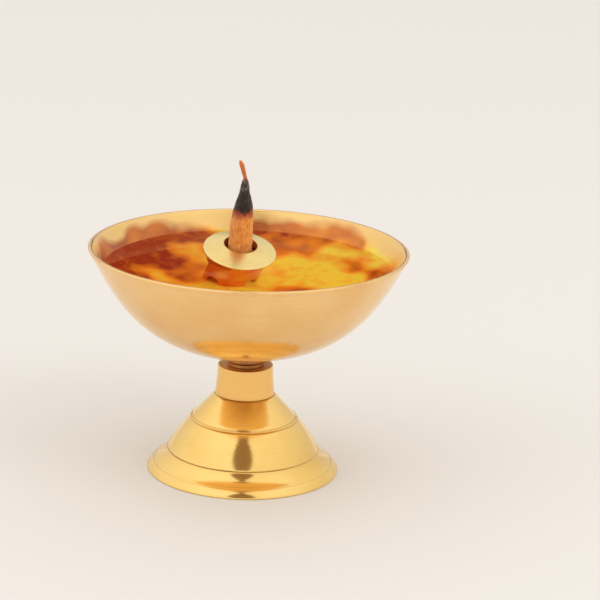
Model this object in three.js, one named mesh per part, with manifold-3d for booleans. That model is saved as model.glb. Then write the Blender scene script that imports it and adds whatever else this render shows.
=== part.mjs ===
// Small brass oil lamp: a round bowl screwed onto a hollow flared foot by a stud, with a loose wick
// holder standing in the oil and a cotton wick in its bore.
// Millimetres, +Z up, origin on the table under the middle of the foot, front of the lamp towards -Y.
import * as THREE from 'three';
import { mergeVertices } from 'three/addons/utils/BufferGeometryUtils.js';
import Module from 'manifold-3d';

const wasm = await Module();
wasm.setup();

// Clearances
const REST_GAP = 0.3; // between a loose piece and what it stands on or in
const THREAD_GAP = 0.1; // radial play of the stud in its two tapped holes
const HOLE_END_GAP = 0.4; // left between each end of the stud and the bottom of its hole

// Pedestal: a cast foot, turned outside and hollow underneath
const PEDESTAL_HEIGHT = 24.1;
const LIP_RADIUS = 21.2;
const LIP_HEIGHT = 1.9;
const LIP_LEAN = 1.42; // how far the slanted lip's top edge stands in from its foot
const LIP_SWELL = 0.1; // outward swell of the slanted face
const LIP_ROUND = 0.3; // where the lip turns under at the table
const LIP_LEDGE = 0.08; // step from the lip in to the skirt
const FOOT_RING_WIDTH = 1.9;
const FLARE_TOP_RADIUS = 16.85;
const FLARE_TOP_HEIGHT = 4.8;
const FLARE_SAG = 0.18; // how far the skirt is drawn in from a straight cone
const BEAD_HEIGHT = 12.05;
const BEAD_SEAT_RADIUS = 11.68; // radius of the cone where the bead runs round it
const BEAD_SIZE = 0.18;
const BELLY_BULGE = 0.25; // outward swell of the lower cone
const CREASE_HEIGHT = 17.5;
const CREASE_RADIUS = 6.6;
const NECK_TOP_RADIUS = 6.1;
const NECK_WAIST = 0.06; // how far the neck is drawn in half way up
const NECK_EDGE = 0.12; // small chamfer on the neck's top
const PEDESTAL_WALL = 1.9;
const ROOF_SLOPE = 0.5; // fall of the hollow's roof from its middle out to the wall

// Joining stud, and the tapped holes that take it
const STUD_RADIUS = 2.9;
const STUD_IN_NECK = 7.2;
const STUD_IN_BOWL = 2.6;
const STUD_CHAMFER = 0.5;

// Bowl
const BOWL_RADIUS = 35; // outside, at the mouth
const BOWL_DEPTH = 23.65; // outside, from its underside up to the mouth
const BOSS_LENGTH = 2.85; // from the neck's top up to the bowl's underside
const BOSS_RADIUS = 4.4;
const BOSS_DROP = 1.75; // how far its full width reaches below the bowl
const BOSS_FOOT_RADIUS = 4.0; // of the narrower end that seats on the neck
const BOSS_FILLET = 0.6;
const LIP_THICKNESS = 1.2;
const RIM_EDGE = 0.22; // small chamfer on both edges of the mouth
const FLOOR_THICKNESS = 1.6; // in the middle
const WALL_THICKNESS = 1.8; // where the round floor ends
const FLOOR_SHARE = 0.5; // how far along the outer wall's curve the round floor reaches
// The outer wall is one curve; these shares of radius and depth place its two handles.
const BELLY_HANDLE = 0.697;
const SHOULDER_HANDLE = [0.857, 0.602];

// Oil
const OIL_BELOW_MOUTH = 4.4;

// Wick holder: a turned tube with a coned collar
const COLLAR_RADIUS = 8.07;
const COLLAR_EDGE = 0.35; // upright edge of the collar
const COLLAR_RISE = 1.5; // of the coned face, from its edge up to the hole
const COLLAR_UNDERCUT = 1.9; // height of the bevel under the collar
const COLLAR_STEP_RADIUS = 6.95;
const COLLAR_STEP_HEIGHT = 1.2;
const COLLAR_STEP_EDGE = 0.3;
const COLLAR_HEIGHT = 19.2; // of the collar's edge, above the bowl's floor along the tube
const MOUTH_RADIUS = 3.67;
const MOUTH_DEPTH = 2.4;
const TUBE_RADIUS = 6.15;
const SLOT_WIDTH = 3.4;
const SLOT_HEIGHT = 5.2; // above the middle of the floor
// The tube stands loose on the round floor, a little back and to the left, so it leans.
const LEAN_RIGHT = THREE.MathUtils.degToRad(6);
const LEAN_FORWARD = THREE.MathUtils.degToRad(16);

// Wick
const WICK_RADIUS = 2.6;
const WICK_PLAY = 0.3; // between the wick and the holder's bore
// Above the collar's hole: height, radius and sideways drift as the wick bends over and burns thin
const BURNT_END = [
  [2.0, 2.62, -0.2],
  [4.8, 2.56, -0.5],
  [6.7, 2.42, -0.5],
  [8.4, 2.22, -0.54],
  [10.5, 1.86, -0.6],
  [12.1, 1.44, -0.74],
  [13.0, 1.16, -0.83],
  [14.8, 1.02, -0.96],
  [16.0, 0.84, -1.06],
  [16.6, 0.42, -1.14],
  [18.2, 0.46, -1.74],
  [19.9, 0.5, -2.35],
  [20.7, 0.34, -2.72],
];

// Facets
const BOWL_STEPS = 72;
const FOOT_STEPS = 60;
const TUBE_STEPS = 40;
const STUD_STEPS = 24;
const WICK_STEPS = 12;

// Places worked out from the sizes
const bowlUnderside = PEDESTAL_HEIGHT + BOSS_LENGTH;
const mouthHeight = bowlUnderside + BOWL_DEPTH;
const floorHeight = bowlUnderside + FLOOR_THICKNESS;
const oilLevel = mouthHeight - OIL_BELOW_MOUTH;
const collarHeight = floorHeight + COLLAR_HEIGHT;
const holeHeight = collarHeight + COLLAR_RISE;
const tapRadius = STUD_RADIUS + THREAD_GAP;
const boreRadius = WICK_RADIUS + WICK_PLAY;

function point(radius, height) {
  return new THREE.Vector2(radius, height);
}

function curve(start, firstHandle, secondHandle, end, steps) {
  return new THREE.CubicBezierCurve(start, firstHandle, secondHandle, end).getPoints(steps);
}

// A line from start to end that swells sideways by a given amount half way; a minus draws it in.
function bowed(start, end, swell, steps) {
  const along = end.clone().sub(start);
  const side = new THREE.Vector2(along.y, -along.x).normalize().multiplyScalar(2 * swell);
  const middle = start.clone().add(end).multiplyScalar(0.5).add(side);
  return new THREE.QuadraticBezierCurve(start, middle, end).getPoints(steps);
}

// Moves each point of a profile sideways, to the right of its direction of travel.
function offset(profile, distance) {
  return profile.map((p, i) => {
    const before = profile[Math.max(i - 1, 0)];
    const after = profile[Math.min(i + 1, profile.length - 1)];
    const along = after.clone().sub(before).normalize();
    return point(p.x + along.y * distance, p.y - along.x * distance);
  });
}

// Turns a profile that starts and ends on the axis.
function turned(profile, steps) {
  const shape = new THREE.LatheGeometry(profile, steps);
  shape.rotateX(Math.PI / 2);
  return shape;
}

function solidOf(geometry) {
  const plain = geometry.clone();
  plain.deleteAttribute('normal');
  plain.deleteAttribute('uv');
  const merged = mergeVertices(plain, 1e-4);
  const mesh = new wasm.Mesh({
    numProp: 3,
    vertProperties: new Float32Array(merged.attributes.position.array),
    triVerts: new Uint32Array(merged.index.array),
  });
  return new wasm.Manifold(mesh);
}

function geometryOf(solid) {
  const mesh = solid.getMesh();
  const geometry = new THREE.BufferGeometry();
  geometry.setAttribute('position', new THREE.BufferAttribute(mesh.vertProperties, 3));
  geometry.setIndex(new THREE.BufferAttribute(mesh.triVerts, 1));
  geometry.computeVertexNormals();
  return geometry;
}

function named(name, geometry, colour, roughness, metalness) {
  const material = new THREE.MeshStandardMaterial({ color: colour, roughness, metalness });
  const mesh = new THREE.Mesh(geometry, material);
  mesh.name = name;
  return mesh;
}

// Outside of the foot from the top of the lip up to the crease under the neck
function coneOutline() {
  const lipTop = point(LIP_RADIUS - LIP_LEAN - LIP_LEDGE, LIP_HEIGHT);
  const flareTop = point(FLARE_TOP_RADIUS, FLARE_TOP_HEIGHT);
  const seat = point(BEAD_SEAT_RADIUS, BEAD_HEIGHT);
  const crease = point(CREASE_RADIUS, CREASE_HEIGHT);
  return {
    skirt: bowed(lipTop, flareTop, -FLARE_SAG, 5),
    lower: bowed(flareTop, seat, BELLY_BULGE, 5),
    upper: bowed(seat, crease, 0, 3),
  };
}

function lipOutline() {
  const foot = point(LIP_RADIUS, LIP_ROUND);
  const top = point(LIP_RADIUS - LIP_LEAN, LIP_HEIGHT);
  return [point(LIP_RADIUS - LIP_ROUND, 0), ...bowed(foot, top, LIP_SWELL, 3)];
}

function pedestalGeometry() {
  const { skirt, lower, upper } = coneOutline();
  const neckBottom = PEDESTAL_HEIGHT - STUD_IN_NECK - HOLE_END_GAP;
  const roof = neckBottom - PEDESTAL_WALL;
  const ringInside = LIP_RADIUS - FOOT_RING_WIDTH;
  const inside = offset([...skirt, ...lower.slice(1), ...upper.slice(1)], -PEDESTAL_WALL);
  const hollow = inside.filter((p) => {
    return p.x > tapRadius && p.x < ringInside && p.y > 0 && p.y < roof - ROOF_SLOPE;
  });
  const bead = [
    point(BEAD_SEAT_RADIUS + BEAD_SIZE * 0.7, BEAD_HEIGHT - BEAD_SIZE * 0.7),
    point(BEAD_SEAT_RADIUS + BEAD_SIZE * 1.05, BEAD_HEIGHT),
    point(BEAD_SEAT_RADIUS + BEAD_SIZE * 0.35, BEAD_HEIGHT + BEAD_SIZE * 0.9),
  ];
  const neckTop = point(NECK_TOP_RADIUS, PEDESTAL_HEIGHT - NECK_EDGE);
  const profile = [
    point(0, roof),
    ...hollow.reverse(),
    point(ringInside, 0),
    ...lipOutline(),
    ...skirt.slice(0, -1),
    ...lower.slice(0, -1),
    ...bead,
    ...upper.slice(1),
    ...bowed(upper.at(-1), neckTop, -NECK_WAIST, 4).slice(1),
    point(NECK_TOP_RADIUS - NECK_EDGE, PEDESTAL_HEIGHT),
    point(tapRadius, PEDESTAL_HEIGHT),
    point(tapRadius, neckBottom),
    point(0, neckBottom),
  ];
  return turned(profile, FOOT_STEPS);
}

function studGeometry() {
  const bottom = PEDESTAL_HEIGHT - STUD_IN_NECK;
  const top = PEDESTAL_HEIGHT + STUD_IN_BOWL;
  return turned(
    [
      point(0, bottom),
      point(STUD_RADIUS - STUD_CHAMFER, bottom),
      point(STUD_RADIUS, bottom + STUD_CHAMFER),
      point(STUD_RADIUS, top - STUD_CHAMFER),
      point(STUD_RADIUS - STUD_CHAMFER, top),
      point(0, top),
    ],
    STUD_STEPS,
  );
}

const outerWall = new THREE.CubicBezierCurve(
  point(0, bowlUnderside),
  point(BOWL_RADIUS * BELLY_HANDLE, bowlUnderside),
  point(BOWL_RADIUS * SHOULDER_HANDLE[0], bowlUnderside + BOWL_DEPTH * SHOULDER_HANDLE[1]),
  point(BOWL_RADIUS, mouthHeight - RIM_EDGE),
);

// The round floor is part of a sphere that ends one wall's thickness inside the outer curve.
function roundFloor() {
  const outside = outerWall.getPoint(FLOOR_SHARE);
  const along = outerWall.getTangent(FLOOR_SHARE);
  const edge = point(outside.x - along.y * WALL_THICKNESS, outside.y + along.x * WALL_THICKNESS);
  const rise = edge.y - floorHeight;
  const radius = (edge.x ** 2 + rise ** 2) / (2 * rise);
  return { radius, centre: floorHeight + radius, reach: Math.asin(edge.x / radius) };
}

const floor = roundFloor();

// Height of the round floor at a distance from its middle
function floorAt(distance) {
  return floor.centre - Math.sqrt(floor.radius ** 2 - distance ** 2);
}

// Inside of the bowl from the middle of the floor up to the mouth
function innerWall() {
  const steps = 6;
  const round = [];
  for (let i = 0; i <= steps; i += 1) {
    const distance = floor.radius * Math.sin((floor.reach * i) / steps);
    round.push(point(distance, floorAt(distance)));
  }
  const start = round.at(-1);
  const end = point(BOWL_RADIUS - LIP_THICKNESS, mouthHeight - RIM_EDGE);
  const steep = outerWall.getTangent(1);
  const handle = start.distanceTo(end) / 3;
  const out = point(start.x + handle * Math.cos(floor.reach), start.y + handle * Math.sin(floor.reach));
  const back = end.clone().addScaledVector(steep, -handle);
  return [...round, ...curve(start, out, back, end, 8).slice(1)];
}

function bowlGeometry() {
  const outside = outerWall.getPoints(17).filter((p) => p.x > BOSS_RADIUS + BOSS_FILLET);
  const holeTop = PEDESTAL_HEIGHT + STUD_IN_BOWL + HOLE_END_GAP;
  const step = bowlUnderside - BOSS_DROP;
  const profile = [
    point(0, holeTop),
    point(tapRadius, holeTop),
    point(tapRadius, PEDESTAL_HEIGHT),
    point(BOSS_FOOT_RADIUS, PEDESTAL_HEIGHT),
    point(BOSS_FOOT_RADIUS, step - (BOSS_RADIUS - BOSS_FOOT_RADIUS)),
    point(BOSS_RADIUS, step),
    point(BOSS_RADIUS, bowlUnderside - BOSS_FILLET),
    point(BOSS_RADIUS + BOSS_FILLET * 0.4, bowlUnderside - BOSS_FILLET * 0.2),
    ...outside,
    point(BOWL_RADIUS - RIM_EDGE, mouthHeight),
    point(BOWL_RADIUS - LIP_THICKNESS + RIM_EDGE, mouthHeight),
    ...innerWall().reverse(),
  ];
  return turned(profile, BOWL_STEPS);
}

// Profile of the wick holder's outside from its foot up to the collar's hole
function holderOutline() {
  const foot = floorAt(TUBE_RADIUS) + REST_GAP;
  const bevelTop = collarHeight - COLLAR_EDGE;
  const stepTop = bevelTop - COLLAR_UNDERCUT;
  return [
    point(TUBE_RADIUS, foot),
    point(TUBE_RADIUS, stepTop - COLLAR_STEP_HEIGHT),
    point(COLLAR_STEP_RADIUS, stepTop - COLLAR_STEP_HEIGHT + COLLAR_STEP_EDGE),
    point(COLLAR_STEP_RADIUS, stepTop),
    point(COLLAR_RADIUS, bevelTop),
    point(COLLAR_RADIUS, collarHeight),
    point(MOUTH_RADIUS, holeHeight),
  ];
}

function archCut(angle) {
  const half = SLOT_WIDTH / 2;
  const low = -SLOT_HEIGHT / 2;
  const arch = new THREE.Shape();
  arch.moveTo(-half, low);
  arch.lineTo(half, low);
  arch.lineTo(half, SLOT_HEIGHT - half);
  arch.absarc(0, SLOT_HEIGHT - half, half, 0, Math.PI, false);
  arch.closePath();
  const length = 4 * TUBE_RADIUS;
  const cut = new THREE.ExtrudeGeometry(arch, { depth: length, bevelEnabled: false, curveSegments: 8 });
  cut.translate(0, 0, -length / 2);
  cut.rotateX(Math.PI / 2);
  cut.rotateZ(angle);
  cut.translate(0, 0, floorHeight);
  return cut;
}

function holderGeometry() {
  const outside = holderOutline();
  const foot = outside[0].y;
  const profile = [
    ...outside,
    point(MOUTH_RADIUS, holeHeight - MOUTH_DEPTH),
    point(boreRadius, holeHeight - MOUTH_DEPTH - (MOUTH_RADIUS - boreRadius)),
    point(boreRadius, foot),
    outside[0].clone(),
  ];
  let holder = solidOf(turned(profile, TUBE_STEPS));
  for (const angle of [Math.PI / 4, -Math.PI / 4]) {
    holder = holder.subtract(solidOf(archCut(angle)));
  }
  return geometryOf(holder);
}

// Joins rings of points into one closed body.
function loft(rings) {
  const sides = rings[0].length;
  const positions = rings.flat().flatMap((p) => [p.x, p.y, p.z]);
  const faces = [];
  for (let k = 0; k + 1 < rings.length; k += 1) {
    for (let i = 0; i < sides; i += 1) {
      const a = k * sides + i;
      const b = k * sides + ((i + 1) % sides);
      faces.push(a, b, b + sides, a, b + sides, a + sides);
    }
  }
  const top = (rings.length - 1) * sides;
  for (let i = 1; i + 1 < sides; i += 1) {
    faces.push(0, i + 1, i);
    faces.push(top, top + i, top + i + 1);
  }
  const body = new THREE.BufferGeometry();
  body.setAttribute('position', new THREE.Float32BufferAttribute(positions, 3));
  body.setIndex(faces);
  body.computeVertexNormals();
  return body;
}

function wickGeometry() {
  const foot = floorAt(WICK_RADIUS) + REST_GAP;
  const spine = [
    [foot, WICK_RADIUS, 0],
    [holeHeight - MOUTH_DEPTH, WICK_RADIUS, 0],
    ...BURNT_END.map(([height, radius, drift]) => [holeHeight + height, radius, drift]),
  ];
  const rings = spine.map(([height, radius, drift]) => {
    const ring = [];
    for (let i = 0; i < WICK_STEPS; i += 1) {
      const angle = (2 * Math.PI * i) / WICK_STEPS;
      const x = drift + radius * Math.cos(angle);
      ring.push(new THREE.Vector3(x, radius * Math.sin(angle), height));
    }
    return ring;
  });
  return loft(rings);
}

// The pool fills the bowl up to its level and leaves room for the standing holder.
function oilGeometry(standing) {
  const wall = offset(innerWall(), -REST_GAP);
  wall[0].x = 0;
  const wet = wall.filter((p) => p.y < oilLevel);
  const above = wall[wet.length];
  const below = wet.at(-1);
  const share = (oilLevel - below.y) / (above.y - below.y);
  const edge = point(below.x + share * (above.x - below.x), oilLevel);
  const pool = solidOf(turned([...wet, edge, point(0, oilLevel)], BOWL_STEPS));
  const around = offset(holderOutline().slice(0, -1), REST_GAP);
  const room = turned(
    [
      point(0, bowlUnderside),
      point(around[0].x, bowlUnderside),
      ...around.slice(1),
      point(around.at(-1).x, mouthHeight + COLLAR_RADIUS),
      point(0, mouthHeight + COLLAR_RADIUS),
    ],
    TUBE_STEPS,
  );
  room.applyMatrix4(standing);
  return geometryOf(pool.subtract(solidOf(room)));
}

function standingGroup() {
  const pivot = new THREE.Group();
  pivot.position.z = floor.centre;
  pivot.rotation.set(LEAN_FORWARD, LEAN_RIGHT, 0);
  const upright = new THREE.Group();
  upright.position.z = -floor.centre;
  pivot.add(upright);
  pivot.updateMatrixWorld(true);
  return { pivot, upright };
}

const lamp = new THREE.Group();
const { pivot, upright } = standingGroup();
lamp.add(named('pedestal', pedestalGeometry(), 0xd9a441, 0.22, 1));
lamp.add(named('joining_stud', studGeometry(), 0xb08a3e, 0.4, 1));
lamp.add(named('bowl', bowlGeometry(), 0xe3b578, 0.2, 1));
lamp.add(named('oil', oilGeometry(upright.matrixWorld), 0xd9771a, 0.05, 0));
upright.add(named('wick_holder', holderGeometry(), 0xe6cf86, 0.3, 1));
upright.add(named('wick', wickGeometry(), 0xc97f36, 0.9, 0));
lamp.add(pivot);

export default lamp;
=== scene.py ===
import math

import bpy
from mathutils import Matrix, Vector, noise


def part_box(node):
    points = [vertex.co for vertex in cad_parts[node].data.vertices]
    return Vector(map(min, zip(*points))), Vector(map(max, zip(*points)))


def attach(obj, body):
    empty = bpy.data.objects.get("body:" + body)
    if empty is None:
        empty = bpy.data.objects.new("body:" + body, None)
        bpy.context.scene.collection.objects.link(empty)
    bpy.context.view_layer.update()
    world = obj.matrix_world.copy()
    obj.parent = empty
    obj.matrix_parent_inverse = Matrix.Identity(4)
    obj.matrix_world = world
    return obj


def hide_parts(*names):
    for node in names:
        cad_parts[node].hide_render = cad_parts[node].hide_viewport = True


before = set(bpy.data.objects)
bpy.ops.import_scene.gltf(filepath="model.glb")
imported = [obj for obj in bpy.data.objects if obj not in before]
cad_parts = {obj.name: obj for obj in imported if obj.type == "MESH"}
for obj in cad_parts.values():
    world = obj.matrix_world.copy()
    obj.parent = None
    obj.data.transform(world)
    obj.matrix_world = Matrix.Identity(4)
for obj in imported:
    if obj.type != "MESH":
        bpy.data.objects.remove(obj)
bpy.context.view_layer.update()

bl_info = {
    "name": "Brass oil lamp",
    "version": (1, 0, 0),
    "blender": (4, 5, 0),
    "location": "View3D > Sidebar > Oil lamp",
    "description": "Dresses the pieces of a small brass oil lamp and sets it in a plain studio",
    "category": "Add Mesh",
}

MM = 0.001

# Corners of the solids, taken from the parts in model.glb, in metres
FOOT_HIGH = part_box("pedestal")[1]
BOWL_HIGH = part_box("bowl")[1]
STUD_LOW, STUD_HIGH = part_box("joining_stud")
OIL_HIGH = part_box("oil")[1]

# Heights of the lamp's main levels, in millimetres
NECK_TOP = FOOT_HIGH.z / MM
UNDERSIDE = NECK_TOP + 2.85
FLOOR = UNDERSIDE + 1.6
MOUTH_TOP = BOWL_HIGH.z / MM
OIL_LEVEL = OIL_HIGH.z / MM
COLLAR = FLOOR + 19.2  # edge of the wick holder's collar, along the tube
HOLE = COLLAR + 1.5

# Other sizes, in millimetres
FLARE_TOP = 4.8
BEAD = 12.05
CREASE = 17.5
RIM_EDGE = 0.22
LIP_THICKNESS = 1.2
WALL_THICKNESS = 1.8
TAP_RADIUS = 3.0
MOUTH_DEPTH = 2.4  # of the wider mouth at the top of the holder's bore
REST_GAP = 0.3  # between the floor and the pieces that stand on it
WICK_RADIUS = 2.6

# The oil: less bend than real oil's 1.47, so that its mirror is as weak as in the photo
OIL_BEND = 1.25
CLEAR_SHARE = 0.65  # of the oil's surface that passes light and mirrors nothing
OIL_STRENGTH = 16.0  # of its own tint, per metre
WETTING = 0.25  # how far the oil climbs the brass at its edge, in millimetres

# Lean of the loose wick holder on the bowl's round floor
LEAN_FORWARD = math.radians(16)
LEAN_RIGHT = math.radians(6)


def linear(code):
    """An sRGB hex colour as linear red, green and blue."""
    parts = [int(code[i:i + 2], 16) / 255 for i in (1, 3, 5)]
    return tuple(c / 12.92 if c <= 0.04045 else ((c + 0.055) / 1.055) ** 2.4 for c in parts)


def shade(colour):
    """Red, green and blue with full opacity, as a node's colour input takes them."""
    return (*colour, 1.0)


def add(tree, kind, settings=None, inputs=None, links=None):
    """Adds a node, sets its properties and inputs, and links other nodes' outputs to its inputs."""
    node = tree.nodes.new(kind)
    for name, value in (settings or {}).items():
        setattr(node, name, value)
    for name, value in (inputs or {}).items():
        node.inputs[name].default_value = value
    for name, output in (links or {}).items():
        tree.links.new(output, node.inputs[name])
    return node


def new_material(name):
    """An empty material and its node tree."""
    material = bpy.data.materials.new(name)
    material.use_nodes = True
    material.node_tree.nodes.clear()
    return material, material.node_tree


def finish_material(tree, surface, volume=None):
    """Links a surface, and for a liquid what fills it, to the material's output."""
    output = add(tree, "ShaderNodeOutputMaterial", {}, {}, {"Surface": surface})
    if volume:
        tree.links.new(volume, output.inputs["Volume"])


def link_object(name, mesh):
    """An object with this mesh, linked to the scene."""
    obj = bpy.data.objects.new(name, mesh)
    bpy.context.scene.collection.objects.link(obj)
    return obj


def smooth(obj, angle):
    """Smooth shading, with edges sharp where faces meet at more than an angle in degrees."""
    obj.data.shade_smooth()
    obj.data.set_sharp_from_angle(angle=math.radians(angle))


def grid_mesh(name, rings):
    """
    One closed body from equal rings of points, the bottom ring first. Each ring runs anticlockwise
    as seen from above.
    """
    mesh = bpy.data.meshes.new(name)
    sides = len(rings[0])
    points = [p for ring in rings for p in ring]
    faces = []
    for k in range(len(rings) - 1):
        for i in range(sides):
            a, b = k * sides + i, k * sides + (i + 1) % sides
            faces.append((a, b, b + sides, a + sides))
    faces.append(tuple(reversed(range(sides))))
    faces.append(tuple(range(len(points) - sides, len(points))))
    mesh.from_pydata(points, [], faces)
    mesh.validate()
    return link_object(name, mesh)


def turned_mesh(name, profile, steps):
    """
    Turns a profile of (radius, height) that starts and ends on the axis, with one point at each pole.
    The material lies to the left of the profile's direction of travel, so the faces look outward.
    """
    mesh = bpy.data.meshes.new(name)
    inner = profile[1:-1]
    points = [(0, 0, profile[0][1])]
    for radius, height in inner:
        for i in range(steps):
            angle = 2 * math.pi * i / steps
            points.append((radius * math.cos(angle), radius * math.sin(angle), height))
    points.append((0, 0, profile[-1][1]))
    faces = []
    for i in range(steps):
        j = (i + 1) % steps
        faces.append((0, 1 + j, 1 + i))
        for k in range(len(inner) - 1):
            a, b = 1 + k * steps + i, 1 + k * steps + j
            faces.append((a, b, b + steps, a + steps))
        last = 1 + (len(inner) - 1) * steps
        faces.append((last + i, last + j, len(points) - 1))
    mesh.from_pydata(points, [], faces)
    mesh.validate()
    return link_object(name, mesh)


def bezier_point(corners, t):
    """A point on a curve with four corners, from 0 at its start to 1 at its end."""
    s = 1 - t
    weights = (s ** 3, 3 * s * s * t, 3 * s * t * t, t ** 3)
    return tuple(sum(w * c[axis] for w, c in zip(weights, corners)) for axis in (0, 1))


def bezier_slope(corners, t):
    """Direction of travel along the curve, one unit long."""
    near, far = bezier_point(corners, max(t - 1e-4, 0)), bezier_point(corners, min(t + 1e-4, 1))
    return (Vector(far) - Vector(near)).normalized()


def bezier(corners, steps):
    """The whole curve with four corners, as equal steps of its run."""
    return [bezier_point(corners, i / steps) for i in range(steps + 1)]


def bowed(start, end, swell, steps):
    """A line that swells to its right by swell half way; a minus draws it in."""
    along = Vector(end) - Vector(start)
    side = Vector((along.y, -along.x)).normalized() * 2 * swell
    middle = (Vector(start) + Vector(end)) / 2 + side
    out = []
    for i in range(steps + 1):
        t = i / steps
        p = Vector(start) * (1 - t) ** 2 + middle * 2 * t * (1 - t) + Vector(end) * t * t
        out.append((p.x, p.y))
    return out


def arc(centre, radius, start, end, steps):
    """Points on a circle between two angles in degrees, in the profile's plane."""
    out = []
    for i in range(steps + 1):
        angle = math.radians(start + (end - start) * i / steps)
        out.append((centre[0] + radius * math.cos(angle), centre[1] + radius * math.sin(angle)))
    return out


def offset(profile, distance):
    """Moves each point of a profile sideways, to the right of its direction of travel."""
    out = []
    for i, here in enumerate(profile):
        along = Vector(profile[min(i + 1, len(profile) - 1)]) - Vector(profile[max(i - 1, 0)])
        along.normalize()
        out.append((here[0] + along.y * distance, here[1] - along.x * distance))
    return out


def scaled(points):
    """Points in millimetres as points in metres."""
    return [(x * MM, y * MM) for x, y in points]


def outer_wall(mouth):
    """Corners of the one curve that the outside of the bowl follows, in millimetres."""
    depth = MOUTH_TOP - UNDERSIDE
    return (
        (0, UNDERSIDE), (mouth * 0.697, UNDERSIDE), (mouth * 0.857, UNDERSIDE + depth * 0.602),
        (mouth, MOUTH_TOP - RIM_EDGE),
    )


def round_floor():
    """Radius, height of the centre, and reach in radians of the round floor inside the bowl."""
    corners = outer_wall(BOWL_HIGH.x / MM)
    outside, along = bezier_point(corners, 0.5), bezier_slope(corners, 0.5)
    edge = (outside[0] - along.y * WALL_THICKNESS, outside[1] + along.x * WALL_THICKNESS)
    rise = edge[1] - FLOOR
    radius = (edge[0] ** 2 + rise ** 2) / (2 * rise)
    return radius, FLOOR + radius, math.asin(edge[0] / radius)


FLOOR_RADIUS, FLOOR_CENTRE, FLOOR_REACH = round_floor()


def floor_at(distance):
    """Height of the round floor at a distance from the axis, in millimetres."""
    return FLOOR_CENTRE - math.sqrt(FLOOR_RADIUS ** 2 - distance ** 2)


def standing():
    """Turns a piece from upright to its lean on the bowl's round floor."""
    centre = Vector((0, 0, FLOOR_CENTRE * MM))
    turn = Matrix.Rotation(LEAN_FORWARD, 4, "X") @ Matrix.Rotation(LEAN_RIGHT, 4, "Y")
    return Matrix.Translation(centre) @ turn @ Matrix.Translation(-centre)


def around_axis(tree, lean=None):
    """Distance from the axis, height, and a point that is the same all the way round the piece."""
    place = add(tree, "ShaderNodeTexCoord")
    at = place.outputs["Object"]
    if lean:
        upright = lean.inverted()
        turn = add(
            tree, "ShaderNodeMapping", {},
            {"Location": upright.translation, "Rotation": upright.to_euler()}, {"Vector": at},
        )
        at = turn.outputs[0]
    split = add(tree, "ShaderNodeSeparateXYZ", links={0: at})
    flat = add(tree, "ShaderNodeCombineXYZ", links={"X": split.outputs["X"], "Y": split.outputs["Y"]})
    radius = add(tree, "ShaderNodeVectorMath", {"operation": "LENGTH"}, {}, {0: flat.outputs[0]})
    ring = add(
        tree, "ShaderNodeCombineXYZ", {}, {}, {"X": radius.outputs["Value"], "Z": split.outputs["Z"]},
    )
    return at, radius.outputs["Value"], split.outputs["Z"], ring.outputs[0]


def mapped(tree, value, low, high, start=0.0, end=1.0):
    """A value that runs from start to end while another runs from low to high, and stays there."""
    node = add(
        tree, "ShaderNodeMapRange", {},
        {"From Min": low, "From Max": high, "To Min": start, "To Max": end}, {"Value": value},
    )
    return node.outputs["Result"]


def blended(tree, share, first, second):
    """Mixes two colours, or the output of a node with a colour, by a share."""
    node = add(tree, "ShaderNodeMix", {"data_type": "RGBA"}, {}, {0: share})
    for slot, colour in ((6, first), (7, second)):
        if isinstance(colour, bpy.types.NodeSocket):
            tree.links.new(colour, node.inputs[slot])
        else:
            node.inputs[slot].default_value = shade(colour)
    return node.outputs[2]


def times(tree, first, second):
    """The product of two outputs."""
    return add(tree, "ShaderNodeMath", {"operation": "MULTIPLY"}, {}, {0: first, 1: second}).outputs[0]


def band(tree, value, low, high, fade):
    """One between two values and nothing outside them, in millimetres."""
    above = mapped(tree, value, (low - fade) * MM, low * MM)
    below = mapped(tree, value, (high + fade) * MM, high * MM)
    return times(tree, above, below)


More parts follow.
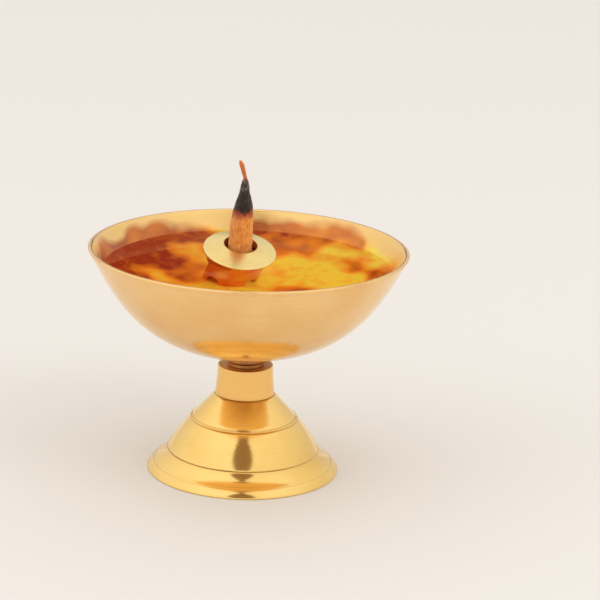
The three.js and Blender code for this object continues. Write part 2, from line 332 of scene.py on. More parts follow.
def brass(name, colour, warm, roughness, line_spacing, line_depth, lean=None, tones=()):
    """
    Brass, cast or spun, then turned and polished. The eye sees a warm mirror with fine rings left by
    the tool, soft patches that fingers and oil have warmed, and darker tones, which are patina and
    painted shade in creases and grooves, under ridges and collars, and between parts. Each of the
    tones is a colour with its share and roughness, its lowest and highest height, how far it fades
    out, and the radius that it stays within, all in millimetres.
    """
    material, tree = new_material(name)
    at, radius, height, ring = around_axis(tree, lean)
    rings = add(
        tree, "ShaderNodeTexNoise", {}, {"Scale": 1 / line_spacing, "Detail": 4.0, "Roughness": 0.65},
        {"Vector": ring},
    )
    clouds = add(
        tree, "ShaderNodeTexNoise", {}, {"Scale": 1 / (11 * MM), "Detail": 4.0, "Roughness": 0.55},
        {"Vector": at},
    )
    specks = add(
        tree, "ShaderNodeTexNoise", {}, {"Scale": 1 / (0.9 * MM), "Detail": 2.0}, {"Vector": at},
    )
    base = blended(tree, mapped(tree, clouds.outputs["Fac"], 0.4, 0.72, 0.0, 0.6), colour, warm)
    base = blended(tree, mapped(tree, rings.outputs["Fac"], 0.45, 0.75, 0.0, 0.35), base, warm)
    spot = mapped(tree, specks.outputs["Fac"], 0.74, 0.78, 0.0, 0.5)
    base = blended(tree, spot, base, linear("#8a5a28"))
    gloss = mapped(tree, rings.outputs["Fac"], 0.3, 0.7, roughness * 0.7, roughness * 1.4)
    uneven = mapped(tree, clouds.outputs["Fac"], 0.35, 0.6, 1.0, 0.45)
    for tone, amount, dull, low, high, fade, reach in tones:
        share = times(tree, band(tree, height, low, high, fade), uneven)
        share = times(tree, share, mapped(tree, radius, reach * MM, (reach - 0.06) * MM, 0.0, amount))
        base = blended(tree, share, base, tone)
        rougher = add(tree, "ShaderNodeMix", {"data_type": "FLOAT"}, {3: dull}, {0: share, 2: gloss})
        gloss = rougher.outputs[0]
    bump = add(
        tree, "ShaderNodeBump", {}, {"Strength": 1.0, "Distance": line_depth},
        {"Height": rings.outputs["Fac"]},
    )
    skin = add(
        tree, "ShaderNodeBsdfPrincipled", {}, {"Metallic": 1.0},
        {"Base Color": base, "Roughness": gloss, "Normal": bump.outputs[0]},
    )
    finish_material(tree, skin.outputs[0])
    return material


def residue(tree, at, radius, small, gold, amber, burnt):
    """Blots of gold, amber and burnt red, and painted shade: darker towards the left and round the edge."""
    across = add(tree, "ShaderNodeSeparateXYZ", links={0: at})
    large = add(
        tree, "ShaderNodeTexNoise", {}, {"Scale": 1 / (11 * MM), "Detail": 1.5, "Distortion": 0.3},
        {"Vector": at},
    )
    # painted shade: the blots darken towards the left and near the bowl's wall
    tilt = mapped(tree, across.outputs["X"], -24 * MM, 20 * MM, 0.15, -0.11)
    edge = mapped(tree, radius, 21 * MM, 29 * MM, 0.0, 0.14)
    blot_and_shade = add(tree, "ShaderNodeMath", {"operation": "ADD"}, {}, {0: large.outputs["Fac"], 1: tilt})
    blot_and_shade = add(tree, "ShaderNodeMath", {"operation": "ADD"}, {}, {0: blot_and_shade.outputs[0], 1: edge})
    base = blended(tree, mapped(tree, blot_and_shade.outputs[0], 0.4, 0.55), gold, amber)
    base = blended(tree, mapped(tree, blot_and_shade.outputs[0], 0.52, 0.66), base, burnt)
    return blended(tree, mapped(tree, small, 0.48, 0.72, 0.0, 0.45), base, amber)


def filmed_brass(name, film, clean, stain):
    """
    The bowl's inside above the oil: brass under a thin film of dried oil. The eye sees a pale, soft
    gold that blurs what it mirrors, and a ragged stain just above the oil, left by higher levels.
    """
    material, tree = new_material(name)
    at, radius, height, ring = around_axis(tree)
    runs = add(
        tree, "ShaderNodeTexNoise", {}, {"Scale": 1 / (11 * MM), "Detail": 2.0, "Roughness": 0.5},
        {"Vector": at},
    )
    lines = add(
        tree, "ShaderNodeTexNoise", {}, {"Scale": 1 / (0.5 * MM), "Detail": 3.0}, {"Vector": ring},
    )
    ragged = add(
        tree, "ShaderNodeMath", {"operation": "MULTIPLY_ADD"}, {1: -9 * MM},
        {0: runs.outputs["Fac"], 2: height},
    )
    tide = mapped(tree, ragged.outputs[0], (OIL_LEVEL - 1.4) * MM, (OIL_LEVEL - 3.4) * MM, 0.0, 0.85)
    base = blended(tree, mapped(tree, runs.outputs["Fac"], 0.46, 0.7, 0.0, 0.7), film, clean)
    base = blended(tree, tide, base, residue(tree, at, radius, runs.outputs["Fac"], *stain))
    gloss = mapped(tree, runs.outputs["Fac"], 0.3, 0.7, 0.34, 0.2)
    bump = add(
        tree, "ShaderNodeBump", {}, {"Strength": 1.0, "Distance": 0.005 * MM},
        {"Height": lines.outputs["Fac"]},
    )
    skin = add(
        tree, "ShaderNodeBsdfPrincipled", {}, {"Metallic": 0.6},
        {"Base Color": base, "Roughness": gloss, "Normal": bump.outputs[0]},
    )
    finish_material(tree, skin.outputs[0])
    return material


def stained_brass(name, stain):
    """
    The bowl's inside below the oil: brass under the residue of burnt oil. The eye sees its blots
    through the oil, and no mirror in them. The lamps' light doesn't get through the oil's clear
    surface here, so a faint glow of the blots' own colour stands in for it.
    """
    material, tree = new_material(name)
    at, radius, _, _ = around_axis(tree)
    small = add(
        tree, "ShaderNodeTexNoise", {}, {"Scale": 1 / (3.5 * MM), "Detail": 4.0, "Roughness": 0.6},
        {"Vector": at},
    )
    base = residue(tree, at, radius, small.outputs["Fac"], *stain)
    bump = add(
        tree, "ShaderNodeBump", {}, {"Strength": 1.0, "Distance": 0.05 * MM},
        {"Height": small.outputs["Fac"]},
    )
    skin = add(
        tree, "ShaderNodeBsdfPrincipled", {},
        {"Metallic": 0.1, "Roughness": 0.5, "Emission Strength": 0.18},
        {"Base Color": base, "Emission Color": base, "Normal": bump.outputs[0]},
    )
    finish_material(tree, skin.outputs[0])
    return material


def colour_setting(name, description, code):
    """A colour that a user can change, with an sRGB hex code as its default."""
    return bpy.props.FloatVectorProperty(
        name=name, description=description, size=3, subtype="COLOR", default=linear(code), min=0, max=1,
    )


class FootSettings(bpy.types.PropertyGroup):
    """Sizes and colours of the foot."""

    lip_radius: bpy.props.FloatProperty(
        name="Lip radius", description="Radius of the foot where it stands", default=FOOT_HIGH.x,
        unit="LENGTH", precision=5,
    )
    colour: colour_setting("Brass", "Colour of the polished foot", "#ffd987")
    warm: colour_setting("Handled brass", "Warmer tone where the foot has been handled", "#f2c66c")
    neck: colour_setting("Neck", "Redder tone of the neck, which was turned and left", "#f4b46a")
    # patina, and painted shade where the bowl overhangs the neck's top
    patina_and_shade: colour_setting("Patina", "Brown on the neck's top, where no cloth reaches", "#9c5c2c")
    # painted shade: brown in the crease, the turned grooves and round the bead
    painted_line_shade: colour_setting("Grime", "Brown that polish leaves in the turned lines", "#8a5a24")


class BowlSettings(bpy.types.PropertyGroup):
    """Sizes and colours of the bowl and its oil."""

    mouth_radius: bpy.props.FloatProperty(
        name="Mouth radius", description="Outside radius at the mouth", default=BOWL_HIGH.x,
        unit="LENGTH", precision=5,
    )
    colour: colour_setting("Brass", "Colour of the polished bowl", "#fbd292")
    warm: colour_setting("Warm brass", "Warmer tone in patches of the bowl", "#f0bd78")
    film: colour_setting("Oil film", "Pale gold of the inside above the oil", "#f9d486")
    gold: colour_setting("Clean floor", "Brass seen through the oil where it is clean", "#ffe84c")
    amber: colour_setting("Stain", "Residue of oil on the bowl's floor", "#ff9c20")
    burnt: colour_setting("Burnt stain", "Thick residue of burnt oil on the bowl's floor", "#a8320e")
    oil: colour_setting("Oil", "Faint tint of the oil itself, stronger where it is deep", "#ffd833")


class WickSettings(bpy.types.PropertyGroup):
    """Colours of the wick and its holder."""

    cotton: colour_setting("Soaked cotton", "Colour of the oil-soaked wick", "#f9b45c")
    char: colour_setting("Char", "Colour of the burnt end", "#1d1413")
    strand: colour_setting("Strand", "Colour of the thin strand at the wick's tip", "#d2743a")
    holder: colour_setting("Holder brass", "Colour of the wick holder", "#f8e29a")
    # painted shade: red on the holder under its collar and in its bore
    red_shade: colour_setting(
        "Heated brass", "Red of the holder under its collar and in its bore", "#d9521f",
    )
    scorched: colour_setting(
        "Scorched cotton", "Red-brown where the soaked cotton starts to char", "#a3452a",
    )
    ash: colour_setting("Ash", "Grey ash on the thin neck of the burnt end", "#77756c")


class StageSettings(bpy.types.PropertyGroup):
    """The studio and its camera."""

    elevation: bpy.props.FloatProperty(
        name="Camera elevation", description="Angle of the camera above level",
        default=math.radians(17.35), subtype="ANGLE",
    )
    distance: bpy.props.FloatProperty(
        name="Camera distance", description="From the camera to the lamp's neck", default=0.56,
        unit="LENGTH",
    )
    roll: bpy.props.FloatProperty(
        name="Camera roll", description="Turn of the camera about its own axis",
        default=math.radians(1.762), subtype="ANGLE",
    )
    floor: colour_setting("Floor", "Colour of the floor", "#e9e7e4")


def foot_profile(lip):
    """Outline of the foot: hollow underneath, lip, flare, cone with its bead, neck and tapped hole."""
    lip, wall = lip / MM, 1.9
    ring_inside = lip - wall
    flare_top, bead_seat, crease = (16.85, FLARE_TOP), (11.68, BEAD), (6.6, CREASE)
    skirt = bowed((lip - 1.5, 1.9), flare_top, -0.28, 24)
    lower = bowed(flare_top, bead_seat, 0.25, 24)
    upper = bowed(bead_seat, crease, 0, 12)
    neck = bowed((6.58, 17.62), (6.1, NECK_TOP - 0.15), -0.06, 14)
    neck_bottom = NECK_TOP - 7.6
    roof = neck_bottom - wall
    inside = offset([*skirt, *lower[1:], *upper[1:]], -wall)
    hollow = [p for p in inside if TAP_RADIUS < p[0] < ring_inside - 0.1 and 0.3 < p[1] < roof - 0.5]
    profile = [
        (0, roof), *reversed(hollow), (ring_inside, 0.25), (ring_inside + 0.2, 0),
        *arc((lip - 0.3, 0.3), 0.3, -90, 0, 6), *bowed((lip, 0.3), (lip - 1.36, 1.84), 0.1, 12)[1:],
        (lip - 1.42, 1.88), (lip - 1.5, 1.86), *skirt[1:-1], (16.93, 4.7), (16.76, 4.78), (16.78, 4.9),
        *lower[1:-1], *arc((bead_seat[0] - 0.03, bead_seat[1] - 0.02), 0.16, -65, 140, 10),
        *upper[1:-1], (6.72, 17.36), (6.5, 17.46), *neck[:-1],
        *arc((6.1 - 0.15, NECK_TOP - 0.15), 0.15, 0, 90, 4),
        (TAP_RADIUS + 0.25, NECK_TOP), (TAP_RADIUS, NECK_TOP - 0.25),
        (TAP_RADIUS, neck_bottom), (0, neck_bottom),
    ]
    return scaled(profile)


class LAMP_OT_foot(bpy.types.Operator):
    """Adds the turned foot with its lip, flare, bead and neck"""

    bl_idname = "lamp.foot"
    bl_label = "Foot"

    def execute(self, context):
        settings = context.scene.lamp_foot
        foot = turned_mesh("foot_turned", foot_profile(settings.lip_radius), 256)
        smooth(foot, 40)
        skin = brass(
            "cast_brass_turned", settings.colour, settings.warm, 0.12, 0.35 * MM, 0.008 * MM,
            tones=(
                (settings.neck, 0.75, 0.2, CREASE + 0.1, NECK_TOP, 0.1, 8),
                # painted shade: brown lines in the crease, round the bead, in the flare's groove and at the
                # lip
                (settings.painted_line_shade, 0.9, 0.4, CREASE - 0.12, CREASE, 0.06, 8),
                (settings.painted_line_shade, 0.6, 0.4, BEAD + 0.22, BEAD + 0.28, 0.08, 16),
                (settings.painted_line_shade, 0.6, 0.4, BEAD - 0.3, BEAD - 0.24, 0.08, 16),
                (settings.painted_line_shade, 0.9, 0.4, FLARE_TOP - 0.04, FLARE_TOP + 0.08, 0.06, 20),
                (settings.painted_line_shade, 0.2, 0.4, 1.82, 1.86, 0.06, 21),
                # patina, and painted shade where the bowl overhangs the neck's top
                (settings.patina_and_shade, 1.0, 0.5, NECK_TOP - 0.3, NECK_TOP + 1, 0.1, 5.85),
            ),
        )
        foot.data.materials.append(skin)
        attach(foot, "base")
        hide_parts("pedestal")
        return {"FINISHED"}


class LAMP_OT_stud(bpy.types.Operator):
    """Adds the threaded stud that joins the bowl to the foot"""

    bl_idname = "lamp.stud"
    bl_label = "Joining stud"

    def execute(self, context):
        outer, pitch, depth, chamfer = STUD_HIGH.x, 1.0 * MM, 0.55 * MM, 0.5 * MM
        rows_per_turn, sides = 14, 64
        length = STUD_HIGH.z - STUD_LOW.z
        rows = round(length / pitch * rows_per_turn)
        rings = []
        for k in range(rows + 1):
            z = STUD_LOW.z + length * k / rows
            end = min(z - STUD_LOW.z, STUD_HIGH.z - z)
            ring = []
            for i in range(sides):
                turn = i / sides
                wave = abs(((z / pitch - turn) % 1) * 2 - 1)
                radius = outer - depth * min(max(wave * 1.3 - 0.15, 0), 1)
                radius = min(radius, outer - chamfer + end)
                angle = 2 * math.pi * turn
                ring.append((radius * math.cos(angle), radius * math.sin(angle), z))
            rings.append(ring)
        stud = grid_mesh("stud_threaded", rings)
        smooth(stud, 50)
        stud.data.materials.append(
            brass("cut_brass_thread", linear("#b98f45"), linear("#8f6a2e"), 0.32, 0.2 * MM, 0.01 * MM)
        )
        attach(stud, "stud")
        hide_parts("joining_stud")
        return {"FINISHED"}


def inner_wall(steps):
    """Inside of the bowl from the middle of its floor up to the mouth, in millimetres."""
    corners = outer_wall(BOWL_HIGH.x / MM)
    distances = [FLOOR_RADIUS * math.sin(FLOOR_REACH * i / steps) for i in range(steps + 1)]
    floor = [(distance, floor_at(distance)) for distance in distances]
    start = floor[-1]
    end = (BOWL_HIGH.x / MM - LIP_THICKNESS, MOUTH_TOP - RIM_EDGE)
    steep = bezier_slope(corners, 1)
    handle = math.dist(start, end) / 3
    out = (start[0] + handle * math.cos(FLOOR_REACH), start[1] + handle * math.sin(FLOOR_REACH))
    back = (end[0] - handle * steep.x, end[1] - handle * steep.y)
    return floor + bezier((start, out, back, end), steps)[1:]


def bowl_profile(mouth):
    """Outline of the bowl: tapped hole, stepped boss, outer wall, rounded rim and inner wall."""
    mouth, boss, boss_foot, fillet, rounding = mouth / MM, 4.4, 4.0, 0.6, 0.5
    step, hole_top = UNDERSIDE - 1.75, NECK_TOP + 3.0
    outside = [p for p in bezier(outer_wall(mouth), 96) if p[0] > boss + fillet + 0.2]
    profile = [
        (0, hole_top), (TAP_RADIUS, hole_top), (TAP_RADIUS, NECK_TOP + 0.25),
        (TAP_RADIUS + 0.25, NECK_TOP), (boss_foot - 0.1, NECK_TOP), (boss_foot, NECK_TOP + 0.1),
        (boss_foot, step - 0.42), (boss - 0.06, step - 0.06), (boss, step + 0.04),
        *arc((boss + fillet, UNDERSIDE - fillet), fillet, 180, 96, 8), *outside,
        *arc((mouth - rounding, MOUTH_TOP - rounding), rounding, 20, 90, 8),
        *arc((mouth - LIP_THICKNESS + rounding, MOUTH_TOP - rounding), rounding, 90, 160, 8),
        *reversed(inner_wall(40)[:-1]),
    ]
    return scaled(profile)


class LAMP_OT_bowl(bpy.types.Operator):
    """Adds the polished bowl with its rounded rim and boss"""

    bl_idname = "lamp.bowl"
    bl_label = "Bowl"

    def execute(self, context):
        settings = context.scene.lamp_bowl
        bowl = turned_mesh("bowl_spun", bowl_profile(settings.mouth_radius), 320)
        smooth(bowl, 40)
        skin = brass(
            "spun_brass_polished", settings.colour, settings.warm, 0.15, 0.9 * MM, 0.02 * MM,
            tones=(
                # patina, and painted shade on the boss between bowl and neck
                (context.scene.lamp_foot.patina_and_shade, 1.0, 0.5, NECK_TOP - 1, UNDERSIDE - 0.5, 0.1, 4.6),
                # painted shade under the bowl round the boss, in the patina's brown
                (context.scene.lamp_foot.patina_and_shade, 0.7, 0.15, UNDERSIDE - 0.5, UNDERSIDE + 1.5, 3, 26),
            ),
        )
        bowl.data.materials.append(skin)
        stain = (settings.gold, settings.amber, settings.burnt)
        film = filmed_brass("brass_under_oil_film", settings.film, settings.colour, stain)
        bowl.data.materials.append(film)
        bowl.data.materials.append(stained_brass("brass_stained_below_oil", stain))
        rim = (MOUTH_TOP - 0.2) * MM
        for face in bowl.data.polygons:  # those that face up inside the bowl
            if face.normal.z > 0.05 and FLOOR * MM < face.center.z < rim:
                face.material_index = 2 if face.center.z < OIL_LEVEL * MM else 1
        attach(bowl, "bowl")
        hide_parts("bowl")
        return {"FINISHED"}


class LAMP_OT_oil(bpy.types.Operator):
    """Adds the pool of amber oil in the bowl"""

    bl_idname = "lamp.oil"
    bl_label = "Oil"

    def execute(self, context):
        settings = context.scene.lamp_bowl
        wall = offset(inner_wall(40), 0.04)  # oil wets the brass, so no air lies between them
        wet = [(max(r, 0), z) for r, z in wall if z < OIL_LEVEL + WETTING]
        edge = wet[-1][0]
        climb = [
            (edge - d, OIL_LEVEL + WETTING * math.exp(-d / 0.5)) for d in (0.25, 0.5, 0.8, 1.2, 1.8, 2.6)
        ]
        across = [(r, OIL_LEVEL) for r in range(28, 0, -2)]
        profile = scaled([(0, wet[0][1]), *wet[1:], *climb, *across, (0, OIL_LEVEL)])
        oil = turned_mesh("oil_pool", profile, 192)
        smooth(oil, 60)
        oil.data.materials.append(self.amber_oil(settings))
        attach(oil, "bowl")
        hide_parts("oil")
        return {"FINISHED"}

    def amber_oil(self, settings):
        """
        Clear lamp oil with a weak mirror on top. The eye sees the stained floor through it. Most of the
        pool's amber is that floor's, and the oil adds a faint yellow tint that grows with its depth.
        """
        material, tree = new_material("lamp_oil")
        skin = add(
            tree, "ShaderNodeBsdfPrincipled", {},
            {"Roughness": 0.0, "IOR": OIL_BEND, "Specular IOR Level": 0.3, "Transmission Weight": 1.0,
             "Base Color": (1, 1, 1, 1)},
        )
        clear = add(tree, "ShaderNodeBsdfRefraction", {}, {"Roughness": 0.0, "IOR": OIL_BEND})
        both = add(
            tree, "ShaderNodeMixShader", {}, {0: CLEAR_SHARE}, {1: skin.outputs[0], 2: clear.outputs[0]},
        )
        depth = add(
            tree, "ShaderNodeVolumeAbsorption", {},
            {"Color": shade(settings.oil), "Density": OIL_STRENGTH},
        )
        finish_material(tree, both.outputs[0], depth.outputs[0])
        return material


def holder_profile():
    """Outline of the wick holder upright on the floor, in millimetres, as a closed loop."""
    tube, bore, mouth, collar, step = 6.15, 2.9, 3.67, 8.07, 6.95
    foot = floor_at(tube) + REST_GAP
    bevel = COLLAR - 0.35
    step_top = bevel - 1.9
    return [
        (tube, foot), (tube, step_top - 1.25), (tube + 0.05, step_top - 1.2), (step - 0.1, step_top - 0.95),
        (step, step_top - 0.85), (step, step_top - 0.06), (step + 0.06, step_top),
        (collar - 0.08, bevel - 0.06), (collar, bevel + 0.02), (collar, COLLAR - 0.08),
        (collar - 0.08, COLLAR + 0.02), (mouth + 0.15, HOLE - 0.06), (mouth + 0.04, HOLE - 0.04),
        (mouth, HOLE - 0.14), (mouth, HOLE - MOUTH_DEPTH), (bore, HOLE - MOUTH_DEPTH - (mouth - bore)),
        (bore, foot),
    ]


class LAMP_OT_wick_holder(bpy.types.Operator):
    """Adds the loose wick holder with its coned collar and the oil slots in its foot"""

    bl_idname = "lamp.wick_holder"
    bl_label = "Wick holder"

    def execute(self, context):
        settings = context.scene.lamp_wick
        outline, steps = scaled(holder_profile()), 160
        points, faces = [], []
        for radius, height in outline:
            for i in range(steps):
                angle = 2 * math.pi * i / steps
                points.append((radius * math.cos(angle), radius * math.sin(angle), height))
        for k in range(len(outline)):
            after = (k + 1) % len(outline)
            for i in range(steps):
                j = (i + 1) % steps
                faces.append((k * steps + i, k * steps + j, after * steps + j, after * steps + i))
        mesh = bpy.data.meshes.new("holder_turned")
        mesh.from_pydata(points, [], faces)
        holder = link_object("holder_turned", mesh)
        half, tall, length, below = 1.7 * MM, 5.2 * MM, 13 * MM, -2 * MM  # of an arched oil slot
        arch = [(-half, below), (half, below)]
        arch += [(half * math.cos(a), tall - half + half * math.sin(a))
                 for a in [math.pi * i / 16 for i in range(17)]]
        for turn in (math.pi / 4, -math.pi / 4):
            rings = [[Vector((x, y, z + FLOOR * MM)) for x, z in arch] for y in (length, -length)]
            cutter = grid_mesh("slot_cutter", rings)
            cutter.data.transform(Matrix.Rotation(turn, 4, "Z"))
            cut = holder.modifiers.new("slot", "BOOLEAN")
            cut.object, cut.operation, cut.solver = cutter, "DIFFERENCE", "EXACT"
            context.view_layer.update()
            cut_holder = holder.evaluated_get(context.evaluated_depsgraph_get())
            shaped = bpy.data.meshes.new_from_object(cut_holder)
            holder.modifiers.clear()
            holder.data = shaped
            bpy.data.objects.remove(cutter)
        holder.data.transform(standing())
        smooth(holder, 30)
        skin = brass(
            "turned_brass_oiled", settings.holder, linear("#d9b064"), 0.27, 0.3 * MM, 0.006 * MM,
            lean=standing(),
            tones=(
                # painted shade: red on the tube under the collar and in the bore's mouth
                (settings.red_shade, 0.9, 0.35, FLOOR - 1, COLLAR - 0.45, 0.12, 12),
                (settings.red_shade, 0.6, 0.35, HOLE - MOUTH_DEPTH - 2, HOLE - 0.1, 0.1, 3.9),
                # painted shade: a darker band just under the collar
                (linear("#7a2410"), 0.7, 0.3, COLLAR - 2.1, COLLAR - 0.45, 0.12, 12),
            ),
        )
        holder.data.materials.append(skin)
        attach(holder, "wick_holder")
        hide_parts("wick_holder")
        return {"FINISHED"}


# Heights where the wick's look changes, from the lowest fibre to the highest, in millimetres above the
# table: cotton turns scorched, then charred, then ashen, then to the red-brown of its strand
SCORCH = (57.8, 59.4)
CHAR = (59.4, 60.4)
ASH = (64.4, 65.4)
STRAND = (67.2, 68.2)

# Height above the collar's hole, radius and sideways drift as the wick bends over and burns thin
BURNT_END = (
    (2.0, 2.62, -0.2), (4.8, 2.56, -0.5), (6.7, 2.42, -0.5), (8.4, 2.22, -0.54), (10.5, 1.86, -0.6),
    (12.1, 1.44, -0.74), (13.0, 1.16, -0.83), (14.8, 0.94, -0.96), (16.0, 0.68, -1.06),
    (16.6, 0.42, -1.14), (18.2, 0.5, -1.74), (19.9, 0.56, -2.35), (20.7, 0.34, -2.72),
)


def wick_spine():
    """Height, radius and sideways drift along the wick, in millimetres, upright on the floor."""
    foot = floor_at(WICK_RADIUS) + REST_GAP
    return [
        (foot, WICK_RADIUS - 0.1, 0), (foot + 0.2, WICK_RADIUS, 0),
        (HOLE - MOUTH_DEPTH, WICK_RADIUS, 0),
        *[(HOLE + height, radius, drift) for height, radius, drift in BURNT_END],
    ]


def along_spine(spine, height):
    """Height, radius and drift at a height, between the two nearest points of the spine."""
    for low, high in zip(spine, spine[1:]):
        if height <= high[0]:
            t = (height - low[0]) / (high[0] - low[0])
            return tuple(a + (b - a) * t for a, b in zip(low, high))
    return spine[-1]


class LAMP_OT_wick(bpy.types.Operator):
    """Adds the cotton wick, soaked below and charred to a curled strand at its tip"""

    bl_idname = "lamp.wick"
    bl_label = "Wick"

    def execute(self, context):
        settings = context.scene.lamp_wick
        spine = wick_spine()
        low, high = spine[0][0], spine[-1][0]
        rows, sides, plies, twist = 300, 96, 5, 14.0
        rings = []
        for k in range(rows + 1):
            height = low + (high - low) * k / rows
            _, radius, drift = along_spine(spine, height)
            ring = []
            for i in range(sides):
                angle = 2 * math.pi * i / sides
                lobe = abs(math.cos((angle - 2 * math.pi * height / twist) * plies / 2))
                bulge = 0.96 + 0.04 * math.sqrt(lobe)
                spot = Vector((math.cos(angle) * 1.5, math.sin(angle) * 1.5, height * 0.35))
                rough = 1 + 0.03 * noise.noise(spot * 2.2)
                r = radius * bulge * rough
                ring.append(Vector((drift + r * math.cos(angle), r * math.sin(angle), height)) * MM)
            rings.append(ring)
        wick = grid_mesh("wick_cotton", rings)
        wick.data.transform(standing())
        smooth(wick, 80)
        wick.data.materials.append(self.cotton(settings))
        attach(wick, "wick")
        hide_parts("wick")
        return {"FINISHED"}

    def cotton(self, settings):
        """Spun cotton, soaked with oil below and burnt to soot above: fibrous, dull at the tip."""
        material, tree = new_material("spun_cotton_soaked")
        place = add(tree, "ShaderNodeTexCoord")
        at = place.outputs["Object"]
        split = add(tree, "ShaderNodeSeparateXYZ", links={0: at})
        ragged = add(
            tree, "ShaderNodeTexNoise", {}, {"Scale": 1 / (1.2 * MM), "Detail": 3.0}, {"Vector": at},
        )
        height = add(
            tree, "ShaderNodeMath", {"operation": "MULTIPLY_ADD"}, {1: 3.2 * MM},
            {0: ragged.outputs["Fac"], 2: split.outputs["Z"]},
        )
        drawn = add(tree, "ShaderNodeVectorMath", {"operation": "MULTIPLY"}, {1: (1.0, 1.0, 0.3)}, {0: at})
        fibre = add(
            tree, "ShaderNodeTexNoise", {}, {"Scale": 1 / (0.4 * MM), "Detail": 4.0, "Roughness": 0.7},
            {"Vector": drawn.outputs[0]},
        )
        soaked = mapped(tree, fibre.outputs["Fac"], 0.4, 0.62, 0.0, 0.75)
        scorched, charred, ashen, red = [
            mapped(tree, height.outputs[0], low * MM, high * MM) for low, high in (SCORCH, CHAR, ASH, STRAND)
        ]
        dusty = mapped(tree, fibre.outputs["Fac"], 0.5, 0.66, 0.0, 0.18)
        powdery = mapped(tree, fibre.outputs["Fac"], 0.42, 0.6, 0.0, 0.85)
        base = blended(tree, soaked, settings.cotton, settings.strand)
        base = blended(tree, scorched, base, settings.scorched)
        base = blended(tree, charred, base, blended(tree, dusty, settings.char, settings.ash))
        base = blended(tree, times(tree, ashen, powdery), base, settings.ash)
        base = blended(tree, red, base, settings.strand)
        bump = add(
            tree, "ShaderNodeBump", {}, {"Strength": 0.7, "Distance": 0.12 * MM},
            {"Height": fibre.outputs["Fac"]},
        )
        skin = add(
            tree, "ShaderNodeBsdfPrincipled", {}, {"Roughness": 0.62, "Sheen Weight": 0.15},
            {"Base Color": base, "Normal": bump.outputs[0]},
        )
        finish_material(tree, skin.outputs[0])
        return material


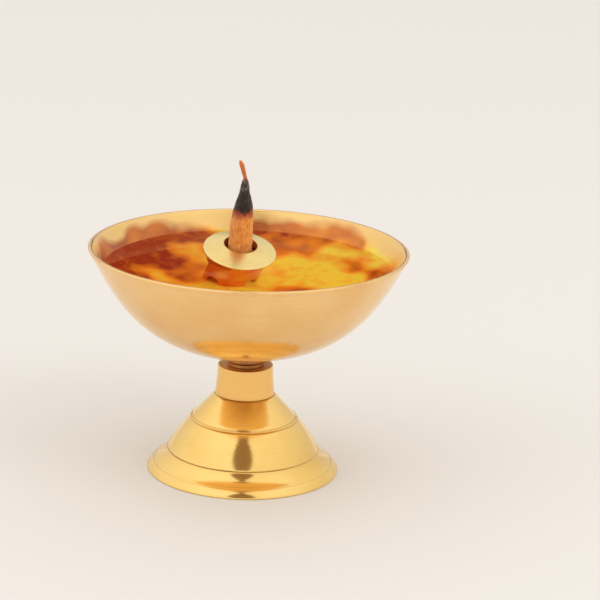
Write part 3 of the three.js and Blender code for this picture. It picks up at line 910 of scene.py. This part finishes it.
class LAMP_OT_stage(bpy.types.Operator):
    """Adds the floor, the soft lamps, the world and the camera"""

    bl_idname = "lamp.stage"
    bl_label = "Studio"

    def execute(self, context):
        settings = context.scene.lamp_stage
        self.floor(settings)
        self.world(context)
        self.lamps()
        self.flags()
        self.camera(context, settings)
        context.scene.view_settings.view_transform = "Standard"
        return {"FINISHED"}

    def floor(self, settings):
        """Plain pale paper. The eye sees a dull ground without a sheen."""
        mesh = bpy.data.meshes.new("studio_floor")
        far = 3.0
        corners = [(-far, -far, 0), (far, -far, 0), (far, far, 0), (-far, far, 0)]
        mesh.from_pydata(corners, [], [(0, 1, 2, 3)])
        floor = link_object("studio_floor", mesh)
        material, tree = new_material("studio_paper")
        skin = add(
            tree, "ShaderNodeBsdfPrincipled", {},
            {"Base Color": shade(settings.floor), "Roughness": 0.7},
        )
        finish_material(tree, skin.outputs[0])
        mesh.materials.append(material)

    def world(self, context):
        """A soft tent of light: bright above and to the left, weaker to the right and behind."""
        world = bpy.data.worlds.new("studio_air")
        context.scene.world = world
        world.use_nodes = True
        tree = world.node_tree
        tree.nodes.clear()
        place = add(tree, "ShaderNodeTexCoord")
        toward = add(tree, "ShaderNodeSeparateXYZ", links={0: place.outputs["Generated"]})
        high = mapped(tree, toward.outputs["Z"], 0.0, 0.8, 0.86, 1.08)
        side = mapped(tree, toward.outputs["X"], -1.0, 1.0, 1.08, 0.94)
        behind = mapped(tree, toward.outputs["Y"], -0.2, 1.0, 1.0, 0.85)
        strength = times(tree, times(tree, high, side), behind)
        air = add(
            tree, "ShaderNodeBackground", {}, {"Color": shade(linear("#fffaf4"))}, {"Strength": strength},
        )
        output = add(tree, "ShaderNodeOutputWorld")
        tree.links.new(air.outputs[0], output.inputs["Surface"])

    def lamps(self):
        """Two weak softboxes that shape the floor and the wick and leave no spots on the metal."""
        target = Vector((0, 0, 0.035))
        for name, place, size, power in (
            ("softbox_right", (0.55, -0.45, 0.7), 0.45, 1.2),
            ("softbox_left", (-0.7, -0.3, 0.5), 0.5, 0.6),
        ):
            light = bpy.data.lights.new(name, "AREA")
            light.shape, light.size, light.energy = "SQUARE", size, power
            lamp = bpy.data.objects.new(name, light)
            bpy.context.scene.collection.objects.link(lamp)
            lamp.location = place
            lamp.rotation_euler = (target - Vector(place)).to_track_quat("-Z", "Y").to_euler()
            lamp.visible_glossy = False

    def flags(self):
        """
        Two cards that only reflections show: a narrow grey one above the camera, which draws the dark
        upright line on polished metal, and a low black one behind, which keeps haze off the oil.
        """
        above = [
            (0.08, 0.33), (0.12, 0.42), (0.17, 0.5), (0.175, 0.62), (0.13, 0.78), (0.08, 0.98),
            (0.055, 1.2), (0.05, 1.9),
        ]
        behind = [(0.068, 0.155), (0.068, 0.205)]
        for name, outline, distance, colour in (
            ("studio_flag_front", above, -0.5, "#9a8068"), ("studio_flag_back", behind, 0.5, "#1c1a18"),
        ):
            mesh = bpy.data.meshes.new(name)
            points = [(side * x, distance, z) for side in (-1, 1) for x, z in outline]
            count = len(outline)
            faces = [(i, i + count, i + count + 1, i + 1) for i in range(count - 1)]
            mesh.from_pydata(points, [], faces)
            flag = link_object(name, mesh)
            material, tree = new_material("studio_card")
            skin = add(
                tree, "ShaderNodeBsdfPrincipled", {},
                {"Base Color": shade(linear(colour)), "Roughness": 0.9},
            )
            finish_material(tree, skin.outputs[0])
            mesh.materials.append(material)
            flag.visible_camera = flag.visible_diffuse = flag.visible_shadow = False

    def camera(self, context, settings):
        """
        The neck's top lies left of and below the middle of the picture, so the camera aims past it.
        The focal length and both shifts are in pixels of a picture 600 pixels wide.
        """
        focal_px, side_px, up_px, frame_px = 2540.2, 53.94, 48.62, 600
        target = Vector((0, 0, 27.6 * MM))
        tilt, roll = settings.elevation, settings.roll
        level, rise = Vector((1, 0, 0)), Vector((0, math.sin(tilt), math.cos(tilt)))
        ahead = Vector((0, math.cos(tilt), -math.sin(tilt)))
        right = level * math.cos(roll) + rise * math.sin(roll)
        up = rise * math.cos(roll) - level * math.sin(roll)
        aim = (ahead * focal_px + right * side_px + up * up_px).normalized()
        right = aim.cross(up).normalized()
        up = right.cross(aim)
        data = bpy.data.cameras.new("camera")
        data.sensor_width = 36.0
        data.lens = focal_px * data.sensor_width / frame_px
        data.clip_start, data.clip_end = 0.01, 20.0
        camera = bpy.data.objects.new("camera", data)
        context.scene.collection.objects.link(camera)
        turn = Matrix((right, up, -aim)).transposed().to_4x4()
        camera.matrix_world = Matrix.Translation(target - ahead * settings.distance) @ turn
        context.scene.camera = camera


class LAMP_PT_panel(bpy.types.Panel):
    """The lamp's pieces and settings in the 3D view's sidebar"""

    bl_idname = "LAMP_PT_panel"
    bl_label = "Oil lamp"
    bl_space_type = "VIEW_3D"
    bl_region_type = "UI"
    bl_category = "Oil lamp"

    def draw(self, context):
        column = self.layout.column()
        for piece in PIECES:
            column.operator(piece.bl_idname)
        for group in SETTINGS:
            settings = getattr(context.scene, group)
            box = self.layout.box()
            for name in settings.__annotations__:
                box.prop(settings, name)


PIECES = (
    LAMP_OT_foot, LAMP_OT_stud, LAMP_OT_bowl, LAMP_OT_oil, LAMP_OT_wick_holder, LAMP_OT_wick,
    LAMP_OT_stage,
)
SETTINGS = {
    "lamp_foot": FootSettings, "lamp_bowl": BowlSettings, "lamp_wick": WickSettings,
    "lamp_stage": StageSettings,
}


def register():
    for settings in SETTINGS.values():
        bpy.utils.register_class(settings)
    for name, settings in SETTINGS.items():
        setattr(bpy.types.Scene, name, bpy.props.PointerProperty(type=settings))
    for piece in PIECES:
        bpy.utils.register_class(piece)
    bpy.utils.register_class(LAMP_PT_panel)


def unregister():
    bpy.utils.unregister_class(LAMP_PT_panel)
    for piece in reversed(PIECES):
        bpy.utils.unregister_class(piece)
    for name in SETTINGS:
        delattr(bpy.types.Scene, name)
    for settings in reversed(list(SETTINGS.values())):
        bpy.utils.unregister_class(settings)


def main():
    register()
    for piece in PIECES:
        group, name = piece.bl_idname.split(".")
        getattr(getattr(bpy.ops, group), name)()


if __name__ == "__main__":
    main()
